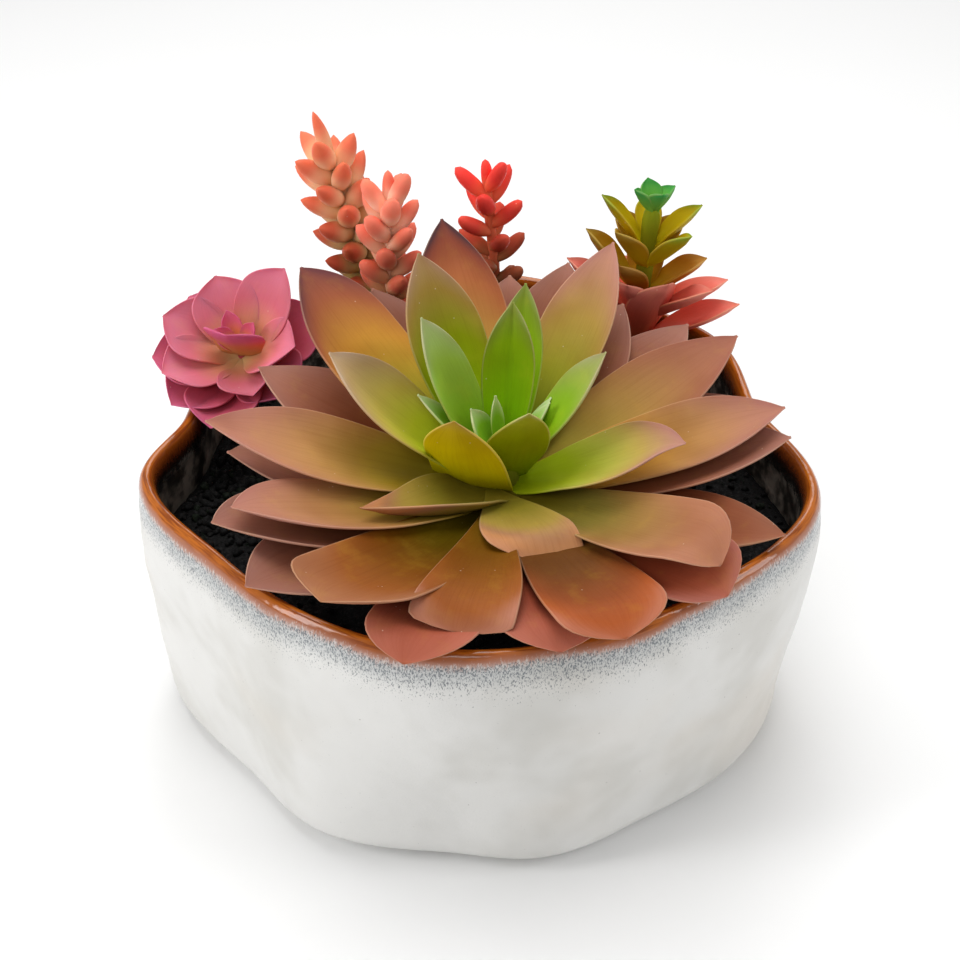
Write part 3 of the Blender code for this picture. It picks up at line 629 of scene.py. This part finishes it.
def rosette_piece():
    """Large rosette."""
    shell = Shell()
    add_stem(shell, *ROSETTE_STEM)
    add_web(shell)
    add_rings(shell, ROSETTE_RINGS)
    shell.turn(lean_turn(ROSETTE_LEAN), ROSETTE_CROWN)
    return shell.build("large_rosette_leaves")


def pink_piece():
    """Pink rosette, its head tipped forward on an upright stem."""
    shell = Shell()
    add_stem(shell, *PINK_STEM)
    add_rings(shell, PINK_RINGS, lean_turn(PINK_LEAN).to_matrix().to_4x4())
    shell.turn(lean_turn(UPRIGHT), PINK_CROWN)
    return shell.build("pink_rosette_petals")


def stack_piece():
    """Stacked-leaf plant."""
    shell = Shell()
    add_stem(shell, *STACK_STEM)
    add_rings(shell, STACK_TIERS)
    shell.turn(lean_turn(STACK_LEAN), STACK_FOOT)
    return shell.build("stacked_leaves")


def around(heading, reach, height):
    """Point at a heading, a reach from the middle and a height."""
    angle = math.radians(heading)
    return reach * math.cos(angle), reach * math.sin(angle), height


def dent_depth(heading, height):
    """How far the thumb dents push the wall in at one place."""
    depth = 0
    for place, level, deep, half in DENTS:
        aside = math.radians((heading - place + 180) % 360 - 180) * MEAN_RADIUS
        depth += deep * math.exp(-(aside**2 + (height - level)**2) / (2 * half**2))
    return depth


def wall_radius(heading, height):
    """Outer radius of the bowl's wall between its foot's edge and its lip."""
    foot = smooth_between(FOOT_PLAN, heading)
    lip = smooth_between(LIP_PLAN, heading)
    part = ease((height - EDGE_HEIGHT) / (BOWL_HEIGHT - EDGE_HEIGHT - LIP_STRAIGHT))
    belly = BELLY * math.sin(math.pi * min(height / BOWL_HEIGHT, 1))
    return foot + (lip - foot) * part + belly - dent_depth(heading, height)


def lip_rise(heading, part):
    """How far the wavy lip lifts a point, full at the lip and none at half height."""
    return smooth_between(LIP_RISE, heading) * float(ease(2 * part - 1))


def knead(heading, height, strength):
    """Small uneven push of the potter's fingers on the wall."""
    spot = Vector(around(heading, MEAN_RADIUS, height))
    deep, wide = KNEAD_WIDE
    shallow, small = KNEAD_SMALL
    return strength * (deep * noise.noise(spot / wide)
                       + shallow * noise.noise(spot / small + Vector((5, 0, 0))))


def bowl_profile(heading):
    """Profile of the bowl at a heading as (radius, height, distance from the lip's top)."""
    edge = wall_radius(heading, EDGE_HEIGHT)
    points = [(0, 0)]
    for reach in np.linspace(0.2, 1, FOOT_STEPS):
        points.append((FOOT_RADIUS * reach, 0))
    for angle in np.linspace(0, 90, CORNER_STEPS)[1:-1]:
        radians = math.radians(angle)
        points.append((FOOT_RADIUS + (edge - FOOT_RADIUS) * math.sin(radians)**0.9,
                       EDGE_HEIGHT * (1 - math.cos(radians))))
    lip = smooth_between(LIP_RISE, heading)
    for height in np.linspace(EDGE_HEIGHT, LIP_FOOT, WALL_STEPS):
        fade = float(ease((height - EDGE_HEIGHT) / KNEAD_FADE)
                     * ease((LIP_FOOT + 2 - height) / KNEAD_FADE))
        points.append((wall_radius(heading, height) + knead(heading, height, fade),
                       height + lip_rise(heading, height / BOWL_HEIGHT)))
    lip_foot = wall_radius(heading, LIP_FOOT)
    for angle in np.linspace(0, 180, LIP_STEPS)[1:-1]:
        radians = math.radians(angle)
        points.append((lip_foot - WALL / 2 * (1 - math.cos(radians)),
                       LIP_FOOT + lip + (BOWL_HEIGHT - LIP_FOOT) * math.sin(radians)**0.85))
    top = len(points) - 1 - (LIP_STEPS - 2) // 2
    for height in np.linspace(LIP_FOOT, INNER_FOOT, INNER_STEPS):
        points.append((wall_radius(heading, height) - WALL,
                       height + lip_rise(heading, height / BOWL_HEIGHT)))
    floor = wall_radius(heading, INNER_FOOT) - WALL - FLOOR_ROUND
    for reach in (1, 0.5, 0.02):
        points.append((floor * reach, FLOOR_THICKNESS))
    points = np.array(points)
    walked = np.concatenate(((0,), np.cumsum(np.hypot(*np.diff(points, axis=0).T))))
    return np.column_stack((points, walked[top] - walked))


def bowl_piece():
    """Bowl with a kneaded wall, a round lip, and each point's distance from the lip."""
    headings = [360 * index / BOWL_COLUMNS for index in range(BOWL_COLUMNS)]
    columns = np.array([bowl_profile(heading) for heading in headings])
    turn = np.radians(headings)[:, None]
    reach, height, walked = columns.transpose(2, 0, 1)
    points = stacked(reach * np.cos(turn), reach * np.sin(turn), height).transpose(1, 0, 2)
    points[0] = points[1] * (0.02, 0.02, 1)
    places = stacked(walked, turn * MEAN_RADIUS, height).transpose(1, 0, 2)
    shell = Shell()
    shell.add(with_ends(points), loft_faces(points.shape[0], BOWL_COLUMNS), (0.7, 0.7, 0.7),
              with_ends(places))
    return shell.build("glazed_bowl")


def soil_top(x, y, part, heading):
    """Height of the soil, crowned, lumpy and crumbled."""
    lumps = SOIL_LUMP * math.sin(SOIL_LUMPS_AROUND * math.radians(heading) + 1) * math.sin(
        math.pi * part)
    rough = sum(rise * noise.noise(Vector((x, y, layer)) / size)
                for rise, size, layer in SOIL_ROUGH)
    return SOIL_EDGE + SOIL_CROWN * (1 - part**2) + lumps + rough - SOIL_SETTLED * part**8


def soil_edge(heading, height):
    """Radius of the soil at the wall."""
    return wall_radius(heading, height) - WALL - SOIL_GAP


def soil_spot(heading, part):
    """Point on top of the soil, at a part of the way from its middle to the wall."""
    x, y, _ = around(heading, soil_edge(heading, SOIL_EDGE) * part, 0)
    return x, y, soil_top(x, y, part, heading)


def crumb_form():
    """Points and faces of one plain lump."""
    bpy.ops.mesh.primitive_ico_sphere_add(subdivisions=2, radius=1)
    lump = bpy.context.object
    points = np.array([vert.co[:] for vert in lump.data.vertices])
    faces = [tuple(face.vertices) for face in lump.data.polygons]
    bpy.data.objects.remove(lump, do_unlink=True)
    return points, faces


def add_crumbs(shell):
    """Scatter crumbs of dark soil, thick at the left where they were pressed to a clump."""
    draw = random.Random(CRUMB_SEED)
    points, faces = crumb_form()
    for index in range(CRUMBS):
        heading = draw.uniform(0, 360)
        part = draw.uniform(0, 0.97)**0.5
        size = draw.uniform(*CRUMB_SIZE)
        if index % CLUMP_EACH == 0:
            heading = draw.gauss(*CLUMP_HEADING)
            part = min(draw.gauss(*CLUMP_PART), 0.96)
            size = draw.uniform(*CLUMP_SIZE)
        x, y, level = soil_spot(heading, part)
        spin = Matrix.Rotation(draw.uniform(0, 6.28), 3, (draw.random(), draw.random(), 1))
        offset = draw.uniform(0, 50)
        swell = np.array([1 + 0.7 * noise.noise(Vector(point) * 1.3 + Vector((offset, 0, 0)))
                          for point in points])
        lump = (points * swell[:, None] * size * (1, 0.8, 0.7)) @ np.array(spin).T
        lump += (x, y, level + 0.25 * size)
        mossy = draw.random() < MOSSY_SHARE
        tint = linear(MOSSY_CRUMB if mossy else draw.choice(CRUMB_COLORS))
        shell.add(lump, faces, tint, (0, 0, index))


def add_fibres(shell):
    """Scatter short curved fibres of moss."""
    draw = random.Random(FIBRE_SEED)
    for index in range(FIBRES):
        heading = draw.uniform(0, 360)
        part = draw.uniform(0, 0.95)**0.5
        base = np.array(soil_spot(heading, part)) - (0, 0, 0.2)
        spin = draw.uniform(0, 6.28)
        out = np.array((math.cos(spin), math.sin(spin), 0))
        side = np.array((-out[1], out[0], 0))
        length = draw.uniform(*FIBRE_LENGTH)
        s = np.linspace(0, 1, 5)
        line = (base + out * (length * s**1.3)[:, None] * 0.8
                + np.outer(length * (0.8 * s - 0.6 * s**2), (0, 0, 1)))
        width = FIBRE_RADIUS * (1.1 - s)
        rings = np.stack([line + (side * math.cos(turn) + np.array((0, 0, math.sin(turn))))
                          * width[:, None] for turn in (0, 2.09, 4.19)], 1)
        tint = linear(draw.choice(FIBRE_COLORS))
        shell.add(with_ends(rings), loft_faces(5, 3), tint, (0, 0, index))


def soil_piece():
    """Soil that fills the bowl, with crumbs and moss on top."""
    shell = Shell()
    headings = [360 * index / SOIL_COLUMNS for index in range(SOIL_COLUMNS)]
    rows = [[around(heading, soil_edge(heading, INNER_FOOT) - FLOOR_ROUND,
                    FLOOR_THICKNESS + SOIL_GAP) for heading in headings]]
    for height in SOIL_LEVELS:
        rows.append([around(heading, soil_edge(heading, height),
                            height + lip_rise(heading, height / BOWL_HEIGHT))
                     for heading in headings])
    for part in np.linspace(1, 0.02, SOIL_RINGS):
        rows.append([soil_spot(heading, part) for heading in headings])
    rings = np.array(rows)
    shell.add(with_ends(rings), loft_faces(len(rows), SOIL_COLUMNS), linear(SOIL_COLOR),
              (0, 0, 0))
    add_crumbs(shell)
    add_fibres(shell)
    return shell.build("crumbled_soil")


class Paint:
    """One material, with short ways to add and link its nodes."""

    def __init__(self, name, **inputs):
        self.material = bpy.data.materials.new(name)
        self.material.use_nodes = True
        self.tree = self.material.node_tree
        self.shader = self.tree.nodes["Principled BSDF"]
        for key, value in inputs.items():
            self.set(key.replace("_", " "), value)

    def set(self, key, value):
        """Give the shader a value or a link."""
        self.put(self.shader.inputs[key], value)

    def put(self, socket, value):
        """Give a socket a value or a link."""
        if isinstance(value, bpy.types.NodeSocket):
            self.tree.links.new(value, socket)
        else:
            socket.default_value = value

    def node(self, kind, inputs, **settings):
        """Add a node with its inputs and settings."""
        made = self.tree.nodes.new("ShaderNode" + kind)
        for key, value in settings.items():
            setattr(made, key, value)
        for key, value in inputs.items():
            self.put(made.inputs[key], value)
        return made

    def attribute(self, name, output):
        """Vector or colour of a mesh attribute."""
        return self.node("Attribute", {}, attribute_name=name).outputs[output]

    def position(self):
        """Place on the object in metres."""
        return self.node("TexCoord", {}).outputs["Object"]

    def stretched(self, vector, scale):
        """Vector times a scale along each axis."""
        return self.node("VectorMath", {0: vector, 1: scale}, operation="MULTIPLY").outputs[0]

    def speck(self, vector, scale, detail, rough=0.5):
        """Noise from 0 to 1, about 0.5."""
        return self.node("TexNoise", {"Vector": vector, "Scale": scale, "Detail": detail,
                                      "Roughness": rough}).outputs[0]

    def cells(self, vector, scale):
        """Distance to the nearest of scattered spots."""
        return self.node("TexVoronoi", {"Vector": vector, "Scale": scale}).outputs["Distance"]

    def calc(self, operation, first, second=0.0):
        """Arithmetic on one or two values."""
        return self.node("Math", {0: first, 1: second}, operation=operation).outputs[0]

    def times(self, first, second):
        """Product of two values."""
        return self.calc("MULTIPLY", first, second)

    def sway(self, vector, scale, detail, reach, rough=0.5):
        """Noise about 0, up to half of a reach to both sides."""
        noisy = self.speck(vector, scale, detail, rough)
        return self.times(self.calc("SUBTRACT", noisy, 0.5), reach)

    def span(self, value, low, high, to_low=0.0, to_high=1.0):
        """Value carried from one range smoothly into another."""
        return self.node("MapRange", {"Value": value, "From Min": low, "From Max": high,
                                      "To Min": to_low, "To Max": to_high},
                         interpolation_type="SMOOTHSTEP").outputs[0]

    def mix(self, part, first, second, blend="MIX"):
        """Colour between two others."""
        return self.node("Mix", {0: part, 6: first, 7: second}, data_type="RGBA",
                         blend_type=blend).outputs[2]

    def ramp(self, value, stops):
        """Colour from a value by (place, hex code) stops."""
        made = self.node("ValToRGB", {0: value})
        elements = made.color_ramp.elements
        while len(elements) < len(stops):
            elements.new(1)
        for element, (place, code) in zip(elements, stops):
            element.position = place
            element.color = color(code)
        return made.outputs[0]

    def bump(self, height, distance, strength, normal=None):
        """Normal from a height, on top of another normal if one is given."""
        inputs = {"Height": height, "Distance": distance, "Strength": strength}
        if normal:
            inputs["Normal"] = normal
        return self.node("Bump", inputs).outputs[0]


def leaf_paint(name, rim, roughness=0.48, grain=1.0, subsurface=0.08, edging=0.3):
    """Soft moulded leaf: gradient along it, pale rim, fine lengthwise lines and flecks."""
    paint = Paint(name, Specular_IOR_Level=0.06, Subsurface_Weight=subsurface,
                  Subsurface_Scale=0.003)
    paint.shader.inputs["Subsurface Radius"].default_value = (1, 0.5, 0.25)
    place = paint.attribute("place", "Vector")
    spot = paint.position()
    parts = paint.node("SeparateXYZ", {0: place})
    lines = paint.speck(paint.stretched(place, (4, 26, 3.1)), 1, 3, 0.6)
    mottle = paint.speck(spot, 130, 4, 0.6)
    cloud = paint.speck(spot, 38, 2)
    tint = paint.attribute("tint", "Color")
    dark = paint.mix(1, tint, color("c8b09c"), "MULTIPLY")
    light = paint.mix(0.14, tint, color("ecc840"))
    body = paint.mix(paint.span(lines, 0.42, 0.75, 0, 0.2 * grain), tint, dark)
    body = paint.mix(paint.span(mottle, 0.5, 0.75, 0, 0.4), body, light)
    body = paint.mix(paint.span(cloud, 0.42, 0.7, 0, 0.4), body, dark)
    flecks = paint.span(paint.cells(spot, 420), 0.06, 0.1, 1, 0)
    rare = paint.span(paint.speck(spot, 210, 0), 0.67, 0.73)
    body = paint.mix(paint.times(paint.times(flecks, rare), 0.4), body, color("f0e4cc"))
    edge = paint.span(paint.calc("ABSOLUTE", parts.outputs[1]), 0.982, 1.0, 0, edging)
    edge = paint.times(edge, paint.span(parts.outputs[0], 0.2, 0.5))
    body = paint.mix(edge, body, paint.mix(0.5, tint, color(rim)))
    paint.set("Base Color", body)
    paint.set("Roughness", paint.span(mottle, 0.3, 0.7, roughness - 0.05, roughness + 0.08))
    fine = paint.speck(spot, 1500, 2)
    normal = paint.bump(fine, 0.00005, 0.5)
    normal = paint.bump(lines, 0.0002, 0.15 * grain, normal)
    paint.set("Normal", paint.bump(mottle, 0.0003, 0.35, normal))
    return paint.material


def bowl_paint():
    """Reactive glaze: caramel lip, dark speckled break, and an off-white satin wall."""
    paint = Paint("reactive_glaze", Specular_IOR_Level=0.5)
    place = paint.attribute("place", "Vector")
    spot = paint.position()
    walked = paint.node("SeparateXYZ", {0: place}).outputs[0]
    sway = paint.sway(spot, 30, 2, 7)
    fray = paint.sway(paint.stretched(spot, (1, 1, 0.35)), 1500, 3, 8, 0.7)
    calm = paint.calc("ADD", walked, sway)
    torn = paint.calc("ADD", calm, fray)
    pool = paint.sway(spot, 120, 3, 3)
    rub = paint.speck(paint.stretched(place, (0.9, 0.06, 0)), 1, 3, 0.6)
    caramel = paint.mix(paint.span(rub, 0.42, 0.64), color("b8641a"), color("843e0e"))
    blush = paint.mix(paint.span(calm, 2.5, 6), color("a05c38"), color("b48e80"))
    outer = paint.mix(paint.span(paint.calc("ADD", calm, pool), 1, 3.4), caramel, blush)
    stain = paint.speck(spot, 22, 3, 0.6)
    white = paint.mix(paint.span(stain, 0.45, 0.7, 0, 0.7), color("dfdedb"), color("cac8c2"))
    warm = paint.speck(spot, 15, 2)
    white = paint.mix(paint.span(warm, 0.55, 0.75, 0, 0.4), white, color("d0c4b2"))
    wall = paint.mix(paint.span(torn, 3.8, 7.4), outer, white)
    gray = paint.speck(paint.stretched(spot, (1, 1, 0.5)), 2400, 2, 0.75)
    dense = paint.times(paint.span(calm, 3, 6), paint.span(calm, 24, 5))
    level = paint.calc("SUBTRACT", 0.72, paint.times(dense, 0.26))
    over = paint.times(paint.calc("SUBTRACT", gray, level), 9)
    speckles = paint.calc("MINIMUM", paint.calc("MAXIMUM", over, 0), 0.85)
    wall = paint.mix(paint.times(speckles, paint.span(calm, 2.4, 5)), wall, color("434b52"))
    haze = paint.times(paint.span(calm, 4, 7), paint.span(calm, 15, 7, 0, 0.35))
    wall = paint.mix(haze, wall, color("8e969c"))
    specks = paint.span(paint.cells(spot, 330), 0.05, 0.1, 1, 0)
    rare = paint.span(paint.speck(spot, 160, 0), 0.62, 0.7, 0, 0.6)
    wall = paint.mix(paint.times(specks, rare), wall, color("77706a"))
    inward = paint.calc("ADD", paint.times(walked, -1), sway)
    blots = paint.speck(spot, 110, 4, 0.65)
    marble = paint.mix(paint.span(blots, 0.42, 0.62), color("2a2622"), color("948c82"))
    inside = paint.ramp(paint.span(paint.calc("ADD", inward, fray), 0, 14),
                        ((0.1, "86400f"), (0.3, "6c300f"), (0.5, "3c1c0e"), (0.7, "181310"),
                         (0.95, "26221f")))
    inside = paint.mix(paint.span(inward, 0.5, 3), caramel, inside)
    inside = paint.mix(paint.span(paint.calc("ADD", inward, fray), 8, 13), inside, marble)
    outside = paint.span(walked, -0.5, 0.5)
    paint.set("Base Color", paint.mix(outside, inside, wall))
    gloss = paint.span(calm, 5, 11, 0.09, 0.4)
    inner_gloss = paint.span(inward, 5, 14, 0.1, 0.3)
    paint.set("Roughness", paint.mix(outside, inner_gloss, gloss))
    ripple = paint.speck(spot, 90, 2)
    grain = paint.speck(spot, 1300, 3, 0.6)
    normal = paint.bump(grain, 0.00012, paint.span(calm, 5, 12, 0.03, 0.5))
    normal = paint.bump(ripple, 0.0011, 0.4, normal)
    paint.set("Normal", normal)
    return paint.material


def soil_paint():
    """Nearly black damp soil with a few glints."""
    paint = Paint("dark_soil", Specular_IOR_Level=0.2)
    spot = paint.position()
    grain = paint.speck(spot, 700, 4, 0.7)
    tint = paint.attribute("tint", "Color")
    body = paint.mix(paint.span(grain, 0.5, 0.75, 0, 0.5), tint, color("171615"))
    paint.set("Base Color", body)
    paint.set("Roughness", paint.span(grain, 0.35, 0.7, 0.95, 0.5))
    paint.set("Normal", paint.bump(grain, 0.0006, 0.9))
    return paint.material


def floor_paint():
    """Plain pale floor."""
    paint = Paint("pale_floor", Specular_IOR_Level=0.2)
    spot = paint.position()
    soft = paint.speck(spot, 6, 2)
    paint.set("Base Color", paint.mix(soft, color("f6f6f5"), color("f8f8f8")))
    paint.set("Roughness", 0.7)
    return paint.material


def dress(made, node, material):
    """Give a piece its material and body, and hide the solid that it stands for."""
    made.data.materials.clear()
    made.data.materials.append(material)
    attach(made, "root")
    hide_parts(node)


def look_from(made, back):
    """Turn a lamp or a camera so that its back points along a direction."""
    made.rotation_mode = "QUATERNION"
    made.rotation_quaternion = back.to_track_quat("Z", "Y")


def light():
    """Even soft light of a small photo studio, from lamps and from all round."""
    for name, spot, size, power in LAMPS:
        data = bpy.data.lights.new(name, "AREA")
        data.shape = "RECTANGLE"
        data.size, data.size_y = size
        data.energy = power
        made = placed(name, data)
        made.location = spot
        look_from(made, made.location - Vector(LAMP_AIM))
    world = bpy.data.worlds.new("studio")
    world.use_nodes = True
    background = world.node_tree.nodes["Background"]
    background.inputs["Color"].default_value = (1, 1, 1, 1)
    background.inputs["Strength"].default_value = WORLD_LIGHT
    bpy.context.scene.world = world


def camera():
    """Camera at the photograph's angle."""
    data = bpy.data.cameras.new("camera")
    data.lens = LENS
    data.sensor_width = SENSOR_WIDTH
    made = placed("camera", data)
    lift = math.radians(CAMERA_ELEVATION)
    back = Vector((0, -math.cos(lift), math.sin(lift)))
    made.location = (Vector(TARGET) + back * CAMERA_DISTANCE) * MM
    look_from(made, back)
    bpy.context.scene.camera = made


def floor():
    """Wide pale floor under the bowl's foot."""
    mesh = bpy.data.meshes.new("floor")
    mesh.from_pydata([(x * FLOOR_REACH, y * FLOOR_REACH, 0)
                      for x, y in ((-1, -1), (1, -1), (1, 1), (-1, 1))], [], [(0, 1, 2, 3)])
    mesh.materials.append(floor_paint())
    placed("floor", mesh)


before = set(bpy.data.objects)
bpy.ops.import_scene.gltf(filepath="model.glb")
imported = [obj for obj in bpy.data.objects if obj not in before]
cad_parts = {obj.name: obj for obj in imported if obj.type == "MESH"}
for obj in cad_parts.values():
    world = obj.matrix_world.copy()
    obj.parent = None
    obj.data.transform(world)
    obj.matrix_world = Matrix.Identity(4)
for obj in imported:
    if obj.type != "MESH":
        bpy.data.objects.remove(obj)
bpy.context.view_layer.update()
camera()
light()
floor()
dress(bowl_piece(), "bowl", bowl_paint())
dress(soil_piece(), "soil", soil_paint())
dress(rosette_piece(), "large_rosette", leaf_paint("dusky_leaf", "e8c8a8"))
dress(pink_piece(), "pink_rosette",
      leaf_paint("pink_petal", "e08c9c", 0.5, 0.5, 0.2, 0.1))
dress(stack_piece(), "stacked_leaf_plant",
      leaf_paint("stacked_leaf", "c8b070", 0.44, 0.7))
for sprig in SPRIGS:
    dress(sprig_piece(sprig), sprig["name"],
          leaf_paint(*sprig["paint"], 0.42, 0.3, 0.2))
bpy.context.scene.view_settings.view_transform = "Standard"
